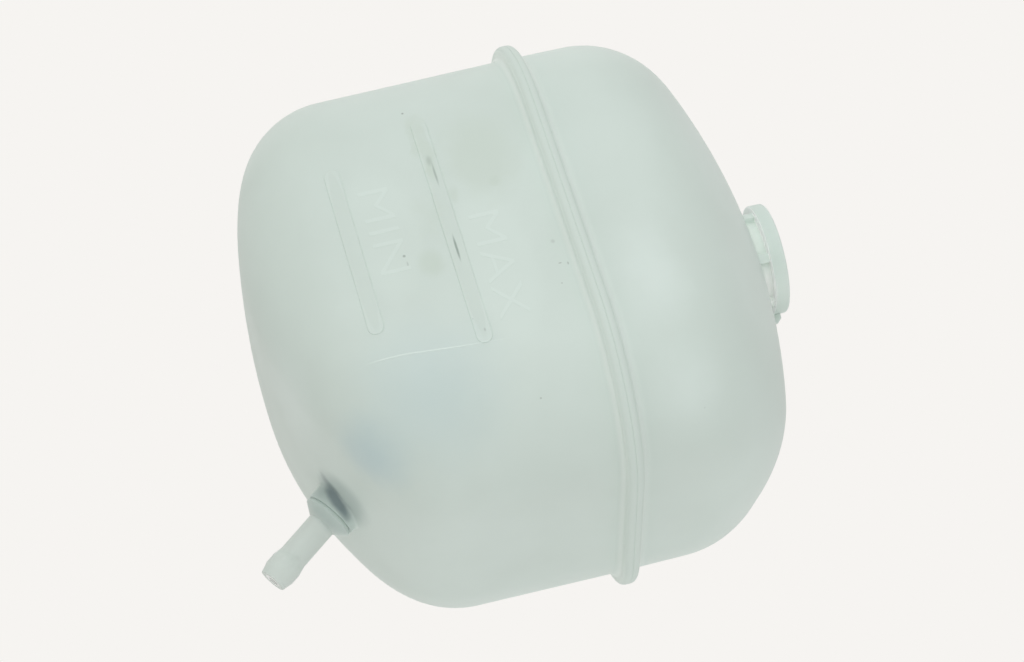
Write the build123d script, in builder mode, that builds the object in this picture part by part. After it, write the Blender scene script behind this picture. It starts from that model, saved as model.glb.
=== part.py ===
from build123d import *
from math import asin, degrees
import os

# Coolant expansion tank: two moulded plastic half shells, welded together at a bead round their rims.
# The origin is the centre of the weld plane. +Z points up to the filler neck and -Y to the flat front.

# Plan of both shells at the weld plane
WIDTH = 184.6
DEPTH = 149.6
FRONT_CORNER = 48.3
BACK_CORNER = 42.2
WALL = 2.8
DRAFT = 0.45

# Lower shell: its depth, its floor curved across X and along Y, and the round edge between floor and walls
LOWER_DEPTH = 119.8
FLOOR_ACROSS = 143.7
FLOOR_ALONG = 610.0
FLOOR_X = -11.1
FLOOR_Y = -14.7
LOWER_EDGE = 36.2

# Upper shell: its height, its top curved across X and along Y, and the round edge between top and walls
UPPER_HEIGHT = 77.4
TOP_ACROSS = 253.0
TOP_ALONG = 105.2
TOP_X = -0.4
TOP_Y = 3.5
UPPER_EDGE = 38.4

# Bead round the rim, half of it on each shell, with a fine groove where the halves meet
BEAD_PROUD = 5.3
BEAD_HALF = 3.2
BEAD_ROUND = 2.4
BEAD_ROOT = 2.8
WELD_GROOVE = 0.15

# Level ribs across the front of the lower shell, by their depth below the weld plane
RIB_WIDTH = 6.0
RIB_PROUD = 0.4
RIB_ROUND = 0.35
FULL_RIB_DEPTH = 43.2
FULL_RIB_LENGTH = 101.0
LOW_RIB_DEPTH = 79.5
LOW_RIB_LENGTH = 73.0

# Filler neck on the upper shell: how far it stands above the top, its waist, the wider rim band that takes
# the cap, a stop lug on the band, and webs that stiffen the waist under the band
NECK_X = -2.0
NECK_Y = -1.0
NECK_STAND = 7.6
NECK_RADIUS = 18.2
NECK_BORE = 15.6
NECK_ROOT = 1.0
BAND_RADIUS = 21.7
BAND_HEIGHT = 5.8
BAND_ROUND = 0.5
LIP_ROUND = 1.0
LUG_PROUD = 3.6
LUG_WIDTH = 4.0
LUG_HEIGHT = 2.8
LUG_SLOPE = 1.8
LUG_TURN = 28.0
WEBS = 6
WEB_RADIUS = 20.2
WEB_WIDTH = 3.6

# Hose stub low on the lower shell's right side: how far in from the shell's sides its axis starts, how far it
# turns back and points down, and its turned form
STUB_IN_X = 37.3
STUB_IN_Y = 82.9
STUB_IN_Z = 16.8
STUB_TURN = 14.1
STUB_TILT = 54.0
STUB_LENGTH = 37.3
STUB_RADIUS = 5.5
STUB_BORE = 2.6
FOOT_RADIUS = 10.2
FOOT_LENGTH = 4.5
FOOT_ROUND = 0.5
FOOT_BLEND = 1.2
GROOVE_RADIUS = 9.4
RING_START = 5.1
RING_RADIUS = 10.0
RING_LENGTH = 0.9
RING_ROUND = 0.4
FLARE_LENGTH = 3.4
FLARE_ROUND = 8.0
SWELL_LENGTH = 3.8
SWELL_ROUND = 8.0
TIP_BEAD_RADIUS = 6.25
TIP_LAND = 4.0
NOSE_LENGTH = 4.0
NOSE_RADIUS = 5.2
NOSE_ROUND = 4.2

NECK_TOP = UPPER_HEIGHT + NECK_STAND
LOWER_FORM = (LOWER_DEPTH, FLOOR_ACROSS, FLOOR_ALONG, FLOOR_X, FLOOR_Y, LOWER_EDGE)
UPPER_FORM = (UPPER_HEIGHT, TOP_ACROSS, TOP_ALONG, TOP_X, TOP_Y, UPPER_EDGE)


def plan_outline(outset):
    """Plan of the shells at the weld plane, grown evenly by outset, with rounder corners at the front."""
    with BuildSketch() as plan:
        Rectangle(WIDTH + 2 * outset, DEPTH + 2 * outset)
        fillet(plan.vertices().group_by(Axis.Y)[0], FRONT_CORNER + outset)
        fillet(plan.vertices().group_by(Axis.Y)[-1], BACK_CORNER + outset)
    return plan.sketch


def barrel(across, along, reach):
    """Barrel about the Y axis: its middle has the radius across, and its sides bulge on the radius along."""
    with BuildPart() as form:
        with BuildSketch(Plane.YZ):
            with BuildLine():
                bulge = degrees(asin(reach / along))
                side = CenterArc((0, across - along), along, 90 - bulge, 2 * bulge)
                Polyline(side @ 1, (-reach, 0), (reach, 0), side @ 0)
            make_face()
        revolve(axis=Axis.Y)
    return form.part


def cup(outset, height, across, along, middle_x, middle_y, edge):
    """Solid form of one shell standing on the weld plane, grown evenly by outset."""
    reach = DEPTH / 2 + abs(middle_y) + outset
    with BuildPart() as form:
        add(plan_outline(outset))
        extrude(amount=height + outset, taper=DRAFT)
        with Locations((middle_x, middle_y, height - across)):
            add(barrel(across + outset, along + outset, reach), mode=Mode.INTERSECT)
        fillet(form.faces().sort_by(Axis.Z)[-1].edges(), edge + outset)
    return form.part


def rim_bead():
    """Half of the bead round the rim, standing on the weld plane, as a slab that the wall runs into."""
    with BuildPart() as bead:
        add(plan_outline(BEAD_PROUD))
        extrude(amount=BEAD_HALF)
        fillet(bead.faces().sort_by(Axis.Z)[-1].edges(), BEAD_ROUND)
        chamfer(bead.faces().sort_by(Axis.Z)[0].edges(), WELD_GROOVE)
    return bead.part


def level_rib(depth, length):
    """Raised band with round ends that follows the front of the lower shell."""
    with BuildPart() as rib:
        with BuildSketch(Plane.XZ):
            with Locations((0, depth)):
                SlotOverall(length, RIB_WIDTH)
        extrude(amount=DEPTH)
        add(cup(RIB_PROUD, *LOWER_FORM), mode=Mode.INTERSECT)
        fillet(rib.faces().sort_by(Axis.Y)[0].edges(), RIB_ROUND)
    return rib.part


def stub_plane(form):
    """Sketch plane through the stub's axis: origin where the axis leaves the form, Y along the axis."""
    start = Vector(WIDTH / 2 - STUB_IN_X, STUB_IN_Y - DEPTH / 2, LOWER_DEPTH - STUB_IN_Z)
    along = Vector(1, 0, 0).rotate(Axis.Y, -STUB_TILT).rotate(Axis.Z, STUB_TURN)
    across = Vector(0, 1, 0).rotate(Axis.Z, STUB_TURN)
    crossings = form.find_intersection_points(Axis(start, along))
    root = max((point for point, normal in crossings), key=along.dot)
    return Plane(origin=root, x_dir=across, z_dir=across.cross(along))


def hose_stub(plane):
    """Stub turned about the plane's Y axis: foot, groove, ring, flare down to the pipe, and tip bead."""
    ring_end = RING_START + RING_LENGTH
    land_start = STUB_LENGTH - NOSE_LENGTH - TIP_LAND
    with BuildPart() as stub:
        with BuildSketch(plane) as half_section:
            with BuildLine():
                Polyline(
                    (0, -FOOT_RADIUS),
                    (FOOT_RADIUS, -FOOT_RADIUS),
                    (FOOT_RADIUS, FOOT_LENGTH),
                    (GROOVE_RADIUS, FOOT_LENGTH),
                    (GROOVE_RADIUS, RING_START),
                    (RING_RADIUS, RING_START),
                    (RING_RADIUS, ring_end),
                    (STUB_RADIUS, ring_end + FLARE_LENGTH),
                    (STUB_RADIUS, land_start - SWELL_LENGTH),
                    (TIP_BEAD_RADIUS, land_start),
                    (TIP_BEAD_RADIUS, land_start + TIP_LAND),
                    (NOSE_RADIUS, STUB_LENGTH),
                    (0, STUB_LENGTH),
                    close=True,
                )
            make_face()
            levels = half_section.vertices().group_by(Axis.Y)
            fillet(levels[1].sort_by(Axis.X)[-1], FOOT_ROUND)
            fillet(levels[2].sort_by(Axis.X)[-1] + levels[3].sort_by(Axis.X)[-1], RING_ROUND)
            fillet(levels[4], FLARE_ROUND)
            fillet(levels[5], SWELL_ROUND)
            fillet(levels[-1].sort_by(Axis.X)[-1], NOSE_ROUND)
        revolve(axis=Axis(plane.origin, plane.y_dir))
    return stub.part


def stub_bore(plane):
    """Round bore from the stub's tip to the inside of the shell."""
    with BuildPart() as bore:
        with BuildSketch(Plane(origin=plane.origin - plane.y_dir * FOOT_RADIUS, z_dir=plane.y_dir)):
            Circle(STUB_BORE)
        extrude(amount=FOOT_RADIUS + STUB_LENGTH)
    return bore.part


def cap_band(neck_plane):
    """Rim band round the top of the neck, with round edges and the sloping stop lug on it."""
    base = neck_plane.offset(NECK_TOP - BAND_HEIGHT)
    with BuildPart() as lug:
        with BuildSketch(base):
            with PolarLocations(BAND_RADIUS, 1, start_angle=LUG_TURN):
                Rectangle(2 * LUG_PROUD, LUG_WIDTH)
        extrude(amount=LUG_HEIGHT)
        outward = Axis(base.origin, Vector(1, 0, 0).rotate(Axis.Z, LUG_TURN))
        chamfer(lug.faces().sort_by(Axis.Z)[-1].edges().sort_by(outward)[-1], LUG_SLOPE)
    with BuildPart() as band:
        with BuildSketch(base):
            Circle(BAND_RADIUS)
        extrude(amount=BAND_HEIGHT)
        fillet(band.faces().sort_by(Axis.Z)[-1].edges(), LIP_ROUND)
        fillet(band.faces().sort_by(Axis.Z)[0].edges(), BAND_ROUND)
        add(lug.part)
    return band.part


def waist_webs(neck_plane):
    """Webs round the waist, standing on the weld plane and reaching up into the band."""
    with BuildPart() as webs:
        with BuildSketch(neck_plane):
            with PolarLocations(WEB_RADIUS / 2, WEBS):
                Rectangle(WEB_RADIUS, WEB_WIDTH)
        extrude(amount=NECK_TOP - BAND_HEIGHT + BAND_ROUND)
    return webs.part


os.makedirs("parts", exist_ok=True)

# Lower shell, built standing on its rim and then turned over
lower_outside = cup(0, *LOWER_FORM)
stub_section = stub_plane(lower_outside)
with BuildPart() as lower_shell:
    add(lower_outside)
    add(hose_stub(stub_section))
    fillet(lower_shell.edges(Select.NEW), FOOT_BLEND)
    add(rim_bead())
    fillet(lower_shell.edges().filter_by_position(Axis.Z, BEAD_HALF, BEAD_HALF), BEAD_ROOT)
    add(level_rib(FULL_RIB_DEPTH, FULL_RIB_LENGTH))
    add(level_rib(LOW_RIB_DEPTH, LOW_RIB_LENGTH))
    add(cup(-WALL, *LOWER_FORM), mode=Mode.SUBTRACT)
    add(stub_bore(stub_section), mode=Mode.SUBTRACT)
    mirror(about=Plane.XY, mode=Mode.REPLACE)
lower_shell.part.label = "lower_shell"
export_step(lower_shell.part, "parts/lower_shell.step")

# Upper shell with the open filler neck
neck_plane = Plane((NECK_X, NECK_Y, 0))
with BuildPart() as upper_shell:
    add(cup(0, *UPPER_FORM))
    with BuildSketch(neck_plane):
        Circle(NECK_RADIUS)
    extrude(amount=NECK_TOP)
    neck_wall = upper_shell.faces().filter_by(GeomType.CYLINDER).sort_by(Axis.Z)[-1]
    neck_rings = neck_wall.edges().filter_by(GeomType.LINE, reverse=True).sort_by(Axis.Z)
    fillet(neck_rings[:-1], NECK_ROOT)
    add(cap_band(neck_plane))
    add(waist_webs(neck_plane))
    add(rim_bead())
    fillet(upper_shell.edges().filter_by_position(Axis.Z, BEAD_HALF, BEAD_HALF), BEAD_ROOT)
    add(cup(-WALL, *UPPER_FORM), mode=Mode.SUBTRACT)
    with BuildSketch(neck_plane):
        Circle(NECK_BORE)
    extrude(amount=NECK_TOP, mode=Mode.SUBTRACT)
upper_shell.part.label = "upper_shell"
export_step(upper_shell.part, "parts/upper_shell.step")
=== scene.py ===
from math import pi, radians, tan

import bmesh
import bpy
from mathutils import Matrix, Vector


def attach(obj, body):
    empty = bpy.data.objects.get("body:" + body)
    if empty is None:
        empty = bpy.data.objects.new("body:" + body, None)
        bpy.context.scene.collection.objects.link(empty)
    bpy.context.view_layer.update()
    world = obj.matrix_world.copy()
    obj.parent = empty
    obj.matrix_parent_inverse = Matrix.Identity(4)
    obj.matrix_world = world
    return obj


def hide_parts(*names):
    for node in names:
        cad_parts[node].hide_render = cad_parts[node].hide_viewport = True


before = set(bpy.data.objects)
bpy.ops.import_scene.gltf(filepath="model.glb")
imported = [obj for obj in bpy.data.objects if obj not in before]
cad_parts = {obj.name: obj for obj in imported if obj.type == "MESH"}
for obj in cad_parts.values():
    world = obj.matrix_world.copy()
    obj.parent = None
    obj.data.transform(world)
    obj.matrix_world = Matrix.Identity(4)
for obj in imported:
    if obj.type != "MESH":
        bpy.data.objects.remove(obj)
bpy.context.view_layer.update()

# Colours in linear light
MILK = (0.654, 0.745, 0.692, 1)
# Deeper milky tone, used for the slow clouds and also as painted shade
DEEP_TONE_AND_SHADE = (0.622, 0.708, 0.654, 1)
STUB_TONE = (0.635, 0.690, 0.648, 1)
# Bluish darker patch on the shell beside the stub
BLUISH_PATCH = (0.520, 0.640, 0.642, 1)
# Painted shade round the foot of the hose stub
FOOT_SHADE_HALO = (0.390, 0.470, 0.445, 1)
LIT_THROUGH = (0.800, 0.885, 0.825, 1)
WELD_ROOT_FILL_LIGHT = (0.880, 0.945, 0.895, 1)
PAINTED_FILL_LIGHT = (0.960, 0.985, 0.955, 1)
# Painted shade: the dark band where the stub's foot meets the shell
FOOT_SHADE = (0.171, 0.223, 0.231, 1)
YELLOWED = (0.610, 0.697, 0.630, 1)
SMUDGE = (0.585, 0.675, 0.600, 1)
SCUFF = (0.300, 0.370, 0.330, 1)
SPECK = (0.230, 0.270, 0.240, 1)
# Pale colour used as painted light and painted highlight
PAINTED_PALE_LIGHT = (0.760, 0.860, 0.815, 1)
FLOOR = (0.930, 0.920, 0.900, 1)
BACKGROUND = (0.922, 0.905, 0.880, 1)
WHITE = (1.0, 1.0, 1.0, 1)
LAMP_WHITE = (0.97, 1.0, 1.02)

# Hose stub: where its axis leaves the shell in mm, its axis, and the side of it that faces the camera
STUB_ROOT = Vector((55.1, 8.1, -103.2))
STUB_AXIS = Vector((0.570, 0.143, -0.809))
STUB_NEAR = Vector((0.365, -0.926, 0.093))
STUB_SIDE = STUB_AXIS.cross(STUB_NEAR)
STUB_FRAME = Matrix((STUB_SIDE, STUB_AXIS, STUB_NEAR)).transposed()
STUB_TURN = STUB_FRAME.to_euler()
FOOT_SHADE_LEAN = radians(-14)
FOOT_SHADE_TURN = (STUB_FRAME @ Matrix.Rotation(FOOT_SHADE_LEAN, 3, "Z")).to_euler()


def on_stub(along, reach, near=0, side=0, turn=STUB_TURN, **rest):
    """Oval placed by the hose stub: mm along its axis, out to the side that faces the camera, and sideways."""
    middle = STUB_ROOT + along * STUB_AXIS + near * STUB_NEAR + side * STUB_SIDE
    return dict(middle=middle, reach=reach, turn=turn, **rest)


# Marks on the plastic, and painted light and shade: their colour, how ragged their edges are in mm, and the ovals
# they fill, in mm
MARKS = [
    # Painted shade low on the front and along the round of the dome
    (DEEP_TONE_AND_SHADE, 8, [
        dict(middle=(-10, -70, -98), reach=(45, 20, 18), strength=0.9),
        dict(middle=(0, -67, 45), reach=(75, 16, 14), strength=0.9),
    ]),
    # Painted shade over the level ribs, dimming their lit faces
    (DEEP_TONE_AND_SHADE, 1, [
        dict(middle=(0, -75, -43.2), reach=(51.5, 4, 3.5), core=0.9, strength=0.8),
        dict(middle=(0, -74.6, -79.5), reach=(37.5, 4, 3.5), core=0.9, strength=0.8),
    ]),
    # Hose stub, a bluish darker patch on the shell beside it, and painted shade round its foot
    (STUB_TONE, 2, [
        on_stub(22, (11, 26, 11), core=0.6, strength=0.9),
    ]),
    # Bluish darker patch on the shell beside the stub
    (BLUISH_PATCH, 8, [
        dict(middle=(70, -49.5, -91.7), reach=(22, 22, 22), strength=0.8),
        dict(middle=(60, -64, -66), reach=(38, 38, 38), strength=0.5),
    ]),
    # Painted shade on the shell round the foot of the stub
    (FOOT_SHADE_HALO, 3, [
        on_stub(-1.5, (16, 7, 19), near=11, core=0.5, strength=0.55),
        on_stub(4.5, (15, 6, 16), near=6, side=3, core=0.4, strength=0.5),
        on_stub(0, (8, 6, 12), near=7, side=8, strength=0.8),
        on_stub(8, (14, 4, 14), near=6, side=-2, strength=0.5),
        on_stub(6, (7, 6, 12), near=4, side=-9, strength=0.6),
    ]),
    # Painted shade: the dark band at the stub's foot
    (FOOT_SHADE, 2.5, [
        on_stub(0.4, (14, 2.8, 6), near=10, side=2.0, turn=FOOT_SHADE_TURN, core=0.3, strength=0.88),
    ]),
    # Painted light on the filler neck, as if lit through its thin wall
    (LIT_THROUGH, 0, [
        dict(middle=(-2, -1, 75), reach=(21.2, 21.2, 40), core=0.97),
        dict(middle=(18, -9, 82), reach=(12, 14, 12), strength=0.5),
    ]),
    # A plain band across the painted shade at the groove of the stub, and plain tone on the two webs at the front of
    # the neck, taking the painted light off them
    (MILK, 0, [
        on_stub(4.8, (14, 0.5, 14), core=0.6, strength=0.6),
        dict(middle=(7.9, -18.2, 77), reach=(2.6, 2.6, 4), core=0.8, strength=0.7),
        dict(middle=(-11.9, -18.2, 77), reach=(2.6, 2.6, 4), core=0.8, strength=0.7),
    ]),
    # Painted light in the shade under the rim band, in the waist below it, and in the bore of the stub
    (PAINTED_FILL_LIGHT, 0, [
        dict(middle=(-2, -1, 79.2), reach=(26, 26, 0.6), core=0.8),
        dict(middle=(17, -9, 77.5), reach=(14, 14, 3), core=0.2, strength=0.9),
        on_stub(37, (3.3, 10, 3.3), core=0.9),
    ]),
    # Wear and dirt, nearly all of it on the front
    (YELLOWED, 12, [
        dict(middle=(-27.5, -74.6, -24.8), reach=(26, 8, 18), core=0.35, strength=0.85),
        dict(middle=(-6.9, -74.4, -49.2), reach=(13, 4, 8), core=0.2, strength=0.45),
        dict(middle=(-40, -75, -44.5), reach=(18, 4, 4.5), core=0.4, strength=0.8),
    ]),
    (SMUDGE, 4, [
        dict(middle=(12.5, -74.4, -53.7), reach=(8, 4, 6.5), core=0.3, strength=0.7),
        dict(middle=(-16, -74.7, -22.5), reach=(4, 3, 3.5), core=0.2, strength=0.5),
        dict(middle=(-14, -74.7, -38.5), reach=(5, 3, 2.5), core=0.2, strength=0.5),
        dict(middle=(-28, -75, -43.5), reach=(8, 3, 3), core=0.2, strength=0.8),
    ]),
    (SCUFF, 0.4, [
        dict(middle=(-24.5, -74.9, -42.6), reach=(7, 3, 0.6), core=0.2, strength=0.6),
        dict(middle=(-31, -74.9, -43.4), reach=(3.5, 3, 1.6), core=0.1, strength=0.35),
        dict(middle=(9, -74.9, -43.3), reach=(7.5, 3, 0.6), core=0.3, strength=0.9),
    ]),
    (SPECK, 0.3, [
        dict(middle=(-55.9, -73.1, -47.2), reach=(0.7, 0.7, 0.7), core=0.3, strength=0.7),
        dict(middle=(7.1, -74.3, -62.4), reach=(0.8, 0.8, 0.8), core=0.3, strength=0.6),
        dict(middle=(10.8, -74.3, -62.0), reach=(1.6, 1, 0.5), core=0.2, strength=0.3),
        dict(middle=(40, -74.5, -45.5), reach=(0.5, 0.5, 0.5), core=0.3, strength=0.5),
        dict(middle=(45.5, -74.9, -42.5), reach=(1.1, 1, 0.6), core=0.2, strength=0.3),
        dict(middle=(15.4, -74.7, -9.0), reach=(1.3, 1, 1.2), core=0.1, strength=0.25),
        dict(middle=(25.2, -74.7, -9.1), reach=(0.4, 0.5, 0.9), core=0.3, strength=0.45),
        dict(middle=(26.0, -74.8, -6.3), reach=(0.9, 0.5, 0.4), core=0.3, strength=0.45),
        dict(middle=(33.7, -74.7, -10.7), reach=(0.4, 0.5, 0.4), core=0.3, strength=0.5),
        dict(middle=(72.7, -65.4, -29.4), reach=(0.6, 0.6, 0.6), core=0.3, strength=0.6),
        dict(middle=(84.6, -52.0, 28.3), reach=(0.6, 0.6, 0.6), core=0.3, strength=0.5),
    ]),
    # Painted light: paler places on the dome and under the floor beside the stub
    (PAINTED_PALE_LIGHT, 6, [
        dict(middle=(36, -74.6, 21.9), reach=(36, 14, 18), strength=0.45),
        dict(middle=(79.0, -58.5, 24.0), reach=(26, 26, 20), strength=0.4),
        dict(middle=(31.8, -35.6, -112.9), reach=(30, 34, 14), strength=0.5),
    ]),
]

# Painted highlight that makes the raised words a little paler
LETTER_HIGHLIGHT = [
    (PAINTED_PALE_LIGHT, 4, [
        dict(middle=(7, -75, -50), reach=(80, 80, 80), core=0.6, strength=0.2),
    ]),
]

# Where no light comes from under the skin, in mm: behind the raised words and at the open end of the stub
DULL = [
    dict(middle=(-5.5, -74.6, -66.5), reach=(34, 12, 15), core=0.7),
    dict(middle=(19, -74.7, -30), reach=(40, 12, 15), core=0.7),
    on_stub(37, (12, 7, 12), core=0.6),
]

# Noise scales: clouds of tone, ragged edges of the marks, and the waves and grain of the surface
CLOUD_SCALE = 14.0
RAGGED_SCALE = 120.0
WAVE_SCALE = 38.0
GRAIN_SCALE = 1100.0

# Weld bead, in metres from the weld plane: its crest, darkened with painted shade, its edge, the painted light on
# the shaded root beside it, and where light starts to come from under the skin again
BEAD_CREST = (0.0022, 0.0030)
BEAD_EDGE = (0.0026, 0.0032)
ROOT_START = 0.0033
ROOT_END_BELOW = 0.0055
ROOT_END_ABOVE = 0.0075
SKIN_LIGHT = (0.002, 0.009)

# Hairline on the front: its X at the weld plane, how that leans and bends with Z, how wide it is to each
# side, its two ends, and the part of the tank that it is on
HAIRLINE_X = 0.0522
HAIRLINE_LEAN = 0.02
HAIRLINE_BEND = -0.65
HAIRLINE_WIDTH = (0.00005, 0.00045)
HAIRLINE_LOW_END = (-0.088, -0.078)
HAIRLINE_HIGH_END = (-0.060, -0.030)
FRONT_PART = (-0.02, 0.0)

# Front of the lower shell and the letters on it
FRONT_Y = -0.0748
DRAFT = radians(0.45)
LETTER_HEIGHT = 0.0123
LETTER_STRETCH = 1.35
LETTER_PROUD = 0.00006
STROKE_TRIM = -0.00022
CAPITAL_PART = 0.729

# Shells: how near two points are joined, the angle past which an edge is sharp, and the middle of the hollow
JOIN_DISTANCE = 1e-6
SHARP_ANGLE = radians(32)
TANK_MIDDLE = Vector((0, 0, -0.02))

# Cap thread inside the filler neck
NECK_MIDDLE = Vector((-0.002, -0.001, 0))
NECK_BORE = 0.0156
THREAD_ROOT = NECK_BORE + 0.0003
THREAD_CREST = 0.0145
THREAD_RISES = (0.0, 0.0009, 0.0015, 0.0024)
THREAD_PITCH = 0.004
THREAD_TURNS = 2
THREAD_STEPS = 64
THREAD_START = 0.0745

# Floor, the ring in which it fades into the background, and the strength of the room's light
FLOOR_RADIUS = 0.8
FLOOR_Z = -0.45
FLOOR_FADE = (0.08, 0.34)
LIGHT_AROUND = 0.98
LIGHT_FROM_ABOVE = 0.56

# Camera at the photograph's viewing angle, turned so that the filler neck points right
CAMERA_SENSOR = 36
CAMERA_LENS = 110.4
CAMERA_PLACE = (0.62625, -1.01632, -0.18426)
CAMERA_TURN = (121.0008, -74.7654, 1.4249)


def put(tree, kind, inputs=(), **settings):
    """Adds a node with its settings, and feeds each input a value or another node's socket."""
    new = tree.nodes.new(kind)
    for name, value in settings.items():
        setattr(new, name, value)
    for name, value in dict(inputs).items():
        if isinstance(value, bpy.types.NodeSocket):
            tree.links.new(value, new.inputs[name])
        else:
            new.inputs[name].default_value = value
    return new


def maths(tree, operation, *values):
    return put(tree, "ShaderNodeMath", dict(enumerate(values)), operation=operation).outputs["Value"]


def times(tree, one, other):
    return maths(tree, "MULTIPLY", one, other)


def vectors(tree, operation, *values, result="Vector"):
    return put(tree, "ShaderNodeVectorMath", dict(enumerate(values)), operation=operation).outputs[result]


def length(tree, vector):
    return vectors(tree, "LENGTH", vector, result="Value")


def ramp(tree, value, start, end, at_start=0.0, at_end=1.0):
    """A smooth rise or fall of the value between two limits."""
    return put(tree, "ShaderNodeMapRange", {
        "Value": value, "From Min": start, "From Max": end, "To Min": at_start, "To Max": at_end,
    }, interpolation_type="SMOOTHSTEP").outputs["Result"]


def noise(tree, place, scale, detail):
    return put(tree, "ShaderNodeTexNoise", {"Vector": place, "Scale": scale, "Detail": detail})


def spot(tree, place, middle, reach, turn=(0, 0, 0), core=0.0, strength=1.0, outside=0.0):
    """Mask of an oval on the surface: one strength in its core, another past its reach."""
    inside = put(tree, "ShaderNodeMapping", {
        "Vector": place,
        "Location": [value / 1000 for value in middle],
        "Rotation": turn,
        "Scale": [value / 1000 for value in reach],
    }, vector_type="TEXTURE").outputs["Vector"]
    return ramp(tree, length(tree, inside), core, 1.0, strength, outside)


def tint(tree, below, mask, colour):
    """Lays a colour over the one below where the mask is on."""
    return put(tree, "ShaderNodeMix", {"Factor": mask, "A": below, "B": colour},
               data_type="RGBA").outputs["Result"]


def new_material(name):
    """An empty material, with its node tree and its shader."""
    material = bpy.data.materials.new(name)
    material.use_nodes = True
    return material, material.node_tree, material.node_tree.nodes["Principled BSDF"]


def hairline_mask(tree, place):
    """Mask of the hairline that runs up the right front corner, strongest low down."""
    parts = put(tree, "ShaderNodeSeparateXYZ", {"Vector": place}).outputs
    slope = maths(tree, "MULTIPLY_ADD", parts["Z"], HAIRLINE_BEND, HAIRLINE_LEAN)
    line = maths(tree, "MULTIPLY_ADD", parts["Z"], slope, HAIRLINE_X)
    away = maths(tree, "ABSOLUTE", maths(tree, "SUBTRACT", parts["X"], line))
    thin = ramp(tree, away, *HAIRLINE_WIDTH, 1.0, 0.0)
    low_end = ramp(tree, parts["Z"], *HAIRLINE_LOW_END)
    high_end = ramp(tree, parts["Z"], *HAIRLINE_HIGH_END, 1.0, 0.0)
    front = ramp(tree, parts["Y"], *FRONT_PART, 1.0, 0.0)
    return times(tree, times(tree, thin, front), times(tree, low_end, high_end))


def marked_tone(tree, place, clouds, marks):
    """Milky tone with slow clouds, and the marks, painted light and shade among them, laid over it one by one."""
    colour = tint(tree, MILK, ramp(tree, clouds, 0.35, 0.7), DEEP_TONE_AND_SHADE)
    ragged = noise(tree, place, RAGGED_SCALE, 4.0).outputs["Color"]
    wander = vectors(tree, "SUBTRACT", ragged, (0.5, 0.5, 0.5))
    for mark_colour, ragged_mm, ovals in marks:
        moved = vectors(tree, "MULTIPLY_ADD", wander, [ragged_mm / 1000] * 3, place)
        for oval in ovals:
            colour = tint(tree, colour, spot(tree, moved, **oval), mark_colour)
    return colour


def weld_light_and_shade(tree, colour, height, from_weld):
    """Painted light on the shaded roots below and above the weld bead, and painted shade on its crest."""
    below_weld = times(tree, height, -1.0)
    for from_bead, root_end, strength in ((below_weld, ROOT_END_BELOW, 0.45), (height, ROOT_END_ABOVE, 0.35)):
        past_edge = ramp(tree, from_bead, *BEAD_EDGE)
        fading = ramp(tree, from_bead, ROOT_START, root_end, strength, 0.0)
        colour = tint(tree, colour, times(tree, past_edge, fading), WELD_ROOT_FILL_LIGHT)
    return tint(tree, colour, ramp(tree, from_weld, *BEAD_CREST, 0.9, 0.0), DEEP_TONE_AND_SHADE)


def moulded_surface(tree, place, hairline):
    """Soft waves, the hairline and a fine grain, as bumps one on top of the other."""
    waves = noise(tree, place, WAVE_SCALE, 1.0).outputs["Fac"]
    grain = noise(tree, place, GRAIN_SCALE, 2.0).outputs["Fac"]
    below = {}
    for height, strength, distance in ((waves, 0.25, 0.0006), (hairline, 0.5, 0.0002), (grain, 0.12, 0.00008)):
        surface = put(tree, "ShaderNodeBump", {
            "Strength": strength, "Distance": distance, "Height": height, **below,
        }).outputs["Normal"]
        below = {"Normal": surface}
    return surface


def light_under_skin(tree, place, from_weld, glow):
    """How much light comes from under the skin: a little outside, all of it inside, and none at the weld."""
    outside = ramp(tree, from_weld, *SKIN_LIGHT, 0.0, glow)
    for oval in DULL:
        outside = times(tree, outside, spot(tree, place, **oval, strength=0.0, outside=1.0))
    inside = put(tree, "ShaderNodeAttribute", attribute_name="inside").outputs["Fac"]
    through_wall = times(tree, inside, ramp(tree, from_weld, *SKIN_LIGHT))
    return maths(tree, "MAXIMUM", outside, through_wall)


def milky_plastic(name, marks, glow):
    """Moulded polypropylene: slow clouds of tone, marks with painted light and shade among them, fine grain, a soft
    waviness, and light under its skin.
    """
    material, tree, shader = new_material(name)
    place = put(tree, "ShaderNodeTexCoord").outputs["Object"]
    height = put(tree, "ShaderNodeSeparateXYZ", {"Vector": place}).outputs["Z"]
    from_weld = maths(tree, "ABSOLUTE", height)
    clouds = noise(tree, place, CLOUD_SCALE, 3.0).outputs["Fac"]
    hairline = hairline_mask(tree, place)
    colour = marked_tone(tree, place, clouds, marks)
    # The hairline is a bump in the surface; its paleness is a painted highlight
    colour = tint(tree, colour, times(tree, hairline, 0.8), PAINTED_PALE_LIGHT)
    colour = weld_light_and_shade(tree, colour, height, from_weld)
    for socket, value in {
        "Base Color": colour,
        "Roughness": ramp(tree, clouds, 0.0, 1.0, 0.38, 0.52),
        "Normal": moulded_surface(tree, place, hairline),
        "Subsurface Weight": light_under_skin(tree, place, from_weld, glow),
    }.items():
        tree.links.new(value, shader.inputs[socket])
    shader.inputs["Specular IOR Level"].default_value = 0.35
    shader.inputs["Subsurface Radius"].default_value = (1.0, 1.0, 1.0)
    shader.inputs["Subsurface Scale"].default_value = 0.006
    return material


def place_piece(name, mesh, material):
    """Puts a mesh into the scene as a piece of the tank."""
    mesh.materials.clear()
    mesh.materials.append(material)
    piece = bpy.data.objects.new(name, mesh)
    bpy.context.scene.collection.objects.link(piece)
    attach(piece, "root")
    return piece


def shade_smooth(shape):
    """Smooth faces, with a sharp edge wherever two faces meet at more than the sharp angle."""
    for face in shape.faces:
        face.smooth = True
    for edge in shape.edges:
        edge.smooth = edge.calc_face_angle(0) < SHARP_ANGLE


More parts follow.
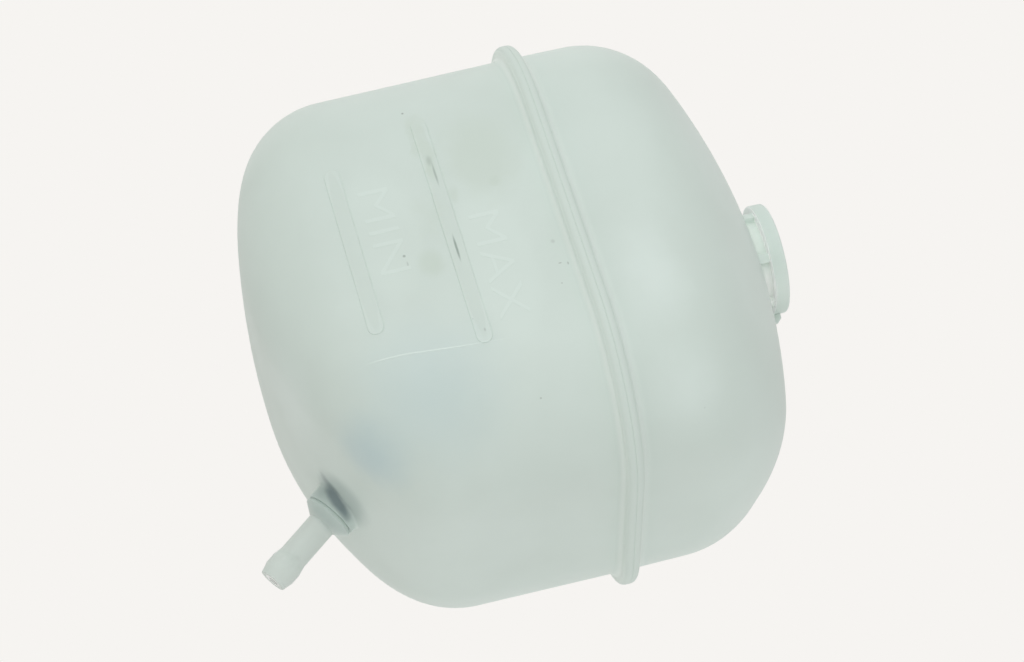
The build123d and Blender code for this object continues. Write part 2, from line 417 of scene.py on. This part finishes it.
def smooth_skin(node_name, material):
    """The CAD shell with its triangles joined, so that its round faces shade smoothly, and its inside told apart."""
    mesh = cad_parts[node_name].data.copy()
    shape = bmesh.new()
    shape.from_mesh(mesh)
    bmesh.ops.remove_doubles(shape, verts=shape.verts, dist=JOIN_DISTANCE)
    shade_smooth(shape)
    inside = shape.faces.layers.float.new("inside")
    for face in shape.faces:
        face[inside] = float(face.normal.dot(face.calc_center_median() - TANK_MIDDLE) < 0)
    shape.to_mesh(mesh)
    shape.free()
    skin = place_piece(node_name + "_skin", mesh, material)
    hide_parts(node_name)


def raised_word(word, middle_x, base_z, material):
    """Level word in low raised letters on the front of the lower shell, with rounded edges."""
    letters = bpy.data.curves.new(word, "FONT")
    letters.body = word
    letters.align_x = "CENTER"
    letters.size = LETTER_HEIGHT / CAPITAL_PART
    letters.offset = STROKE_TRIM
    letters.extrude = LETTER_PROUD / 2
    letters.bevel_depth = LETTER_PROUD / 2
    letters.bevel_resolution = 2
    draft_text = bpy.data.objects.new(word, letters)
    bpy.context.scene.collection.objects.link(draft_text)
    mesh = bpy.data.meshes.new_from_object(draft_text.evaluated_get(bpy.context.evaluated_depsgraph_get()))
    bpy.data.objects.remove(draft_text)
    upright = Matrix.Rotation(pi / 2, 4, "X")
    lean = Matrix.Rotation(DRAFT, 4, "X")
    front = Vector((middle_x, FRONT_Y - base_z * tan(DRAFT), base_z))
    wide = Matrix.Diagonal((LETTER_STRETCH, 1, 1, 1))
    mesh.transform(Matrix.Translation(front) @ lean @ upright @ wide)
    place_piece("word_" + word.lower(), mesh, material)


def cap_thread(material):
    """Low thread inside the filler neck: one ridge wound up the bore, closed at both ends."""
    shape = bmesh.new()
    radii = (THREAD_ROOT, THREAD_CREST, THREAD_CREST, THREAD_ROOT)
    section = [shape.verts.new((radius, 0, THREAD_START + rise)) for radius, rise in zip(radii, THREAD_RISES)]
    edges = [shape.edges.new(pair) for pair in zip(section, section[1:])]
    bmesh.ops.spin(shape, geom=section + edges, cent=(0, 0, 0), axis=(0, 0, 1), angle=2 * pi * THREAD_TURNS,
                   steps=THREAD_STEPS * THREAD_TURNS, dvec=(0, 0, THREAD_PITCH / THREAD_STEPS),
                   use_merge=False, use_normal_flip=False, use_duplicate=False)
    bmesh.ops.translate(shape, verts=shape.verts, vec=NECK_MIDDLE)
    bmesh.ops.holes_fill(shape, edges=shape.edges, sides=4)
    bmesh.ops.recalc_face_normals(shape, faces=shape.faces)
    shade_smooth(shape)
    mesh = bpy.data.meshes.new("cap_thread")
    shape.to_mesh(mesh)
    shape.free()
    place_piece("cap_thread", mesh, material)


def seen_or_mirrored(tree):
    """On for rays that see the background straight or in a mirror image, and off for those that carry its light."""
    path = put(tree, "ShaderNodeLightPath").outputs
    mirrored = maths(tree, "MAXIMUM", path["Is Glossy Ray"], path["Is Transmission Ray"])
    return maths(tree, "MAXIMUM", path["Is Camera Ray"], mirrored)


def pale_floor():
    """Floor that catches the tank's shadow and fades into the background away from it."""
    material, tree, shader = new_material("pale_floor")
    shader.inputs["Base Color"].default_value = FLOOR
    shader.inputs["Roughness"].default_value = 0.9
    shader.inputs["Specular IOR Level"].default_value = 0.1
    glow = put(tree, "ShaderNodeEmission", {"Color": BACKGROUND, "Strength": 1.0})
    place = put(tree, "ShaderNodeTexCoord").outputs["Object"]
    far = length(tree, vectors(tree, "MULTIPLY", place, (1, 1, 0)))
    mask = times(tree, ramp(tree, far, *FLOOR_FADE), seen_or_mirrored(tree))
    both = put(tree, "ShaderNodeMixShader", {0: mask, 1: shader.outputs["BSDF"], 2: glow.outputs["Emission"]})
    tree.links.new(both.outputs["Shader"], tree.nodes["Material Output"].inputs["Surface"])
    shape = bmesh.new()
    bmesh.ops.create_circle(shape, cap_ends=True, segments=96, radius=FLOOR_RADIUS)
    bmesh.ops.translate(shape, verts=shape.verts, vec=(0, 0, FLOOR_Z))
    mesh = bpy.data.meshes.new("floor")
    shape.to_mesh(mesh)
    shape.free()
    mesh.materials.append(material)
    floor = bpy.data.objects.new("floor", mesh)
    bpy.context.scene.collection.objects.link(floor)


def pale_room():
    """Even white light, a little dimmer from above, with the pale background where it is seen or mirrored."""
    world = bpy.data.worlds.new("pale_room")
    bpy.context.scene.world = world
    world.use_nodes = True
    tree = world.node_tree
    room = tree.nodes["Background"]
    room.inputs["Color"].default_value = WHITE
    towards = put(tree, "ShaderNodeTexCoord").outputs["Generated"]
    up = put(tree, "ShaderNodeSeparateXYZ", {"Vector": towards}).outputs["Z"]
    tree.links.new(ramp(tree, up, 0.0, 1.0, LIGHT_AROUND, LIGHT_FROM_ABOVE), room.inputs["Strength"])
    seen = put(tree, "ShaderNodeBackground", {"Color": BACKGROUND, "Strength": 1.0})
    both = put(tree, "ShaderNodeMixShader", {
        0: seen_or_mirrored(tree), 1: room.outputs["Background"], 2: seen.outputs["Background"],
    })
    tree.links.new(both.outputs["Shader"], tree.nodes["World Output"].inputs["Surface"])


def lamp(name, place, aim, size, colour, power):
    """Round soft lamp that points at its aim."""
    light = bpy.data.lights.new(name, "AREA")
    light.color = colour
    light.shape = "DISK"
    light.size = size
    light.energy = power
    lamp_object = bpy.data.objects.new(name, light)
    bpy.context.scene.collection.objects.link(lamp_object)
    lamp_object.location = place
    lamp_object.rotation_euler = (Vector(aim) - Vector(place)).to_track_quat("-Z", "Y").to_euler()


def photo_camera():
    view = bpy.data.cameras.new("view")
    view.sensor_width = CAMERA_SENSOR
    view.lens = CAMERA_LENS
    camera = bpy.data.objects.new("camera", view)
    bpy.context.scene.collection.objects.link(camera)
    camera.location = CAMERA_PLACE
    camera.rotation_euler = [radians(value) for value in CAMERA_TURN]
    bpy.context.scene.camera = camera


shell_plastic = milky_plastic("milky_polypropylene", MARKS, glow=0.3)
clean_plastic = milky_plastic("clean_polypropylene", [], glow=0.0)
letter_plastic = milky_plastic("polypropylene_painted_highlight", LETTER_HIGHLIGHT, glow=0.0)
for node_name in ("lower_shell", "upper_shell"):
    smooth_skin(node_name, shell_plastic)
raised_word("MIN", middle_x=-0.0055, base_z=-0.0725, material=letter_plastic)
raised_word("MAX", middle_x=0.0190, base_z=-0.0360, material=letter_plastic)
cap_thread(clean_plastic)

pale_floor()
pale_room()
lamp("front_lamp", place=(-0.3, -1.9, -0.1), aim=(0, 0, 0), size=1.4, colour=LAMP_WHITE, power=4.8)
photo_camera()

bpy.context.scene.view_settings.view_transform = "Standard"
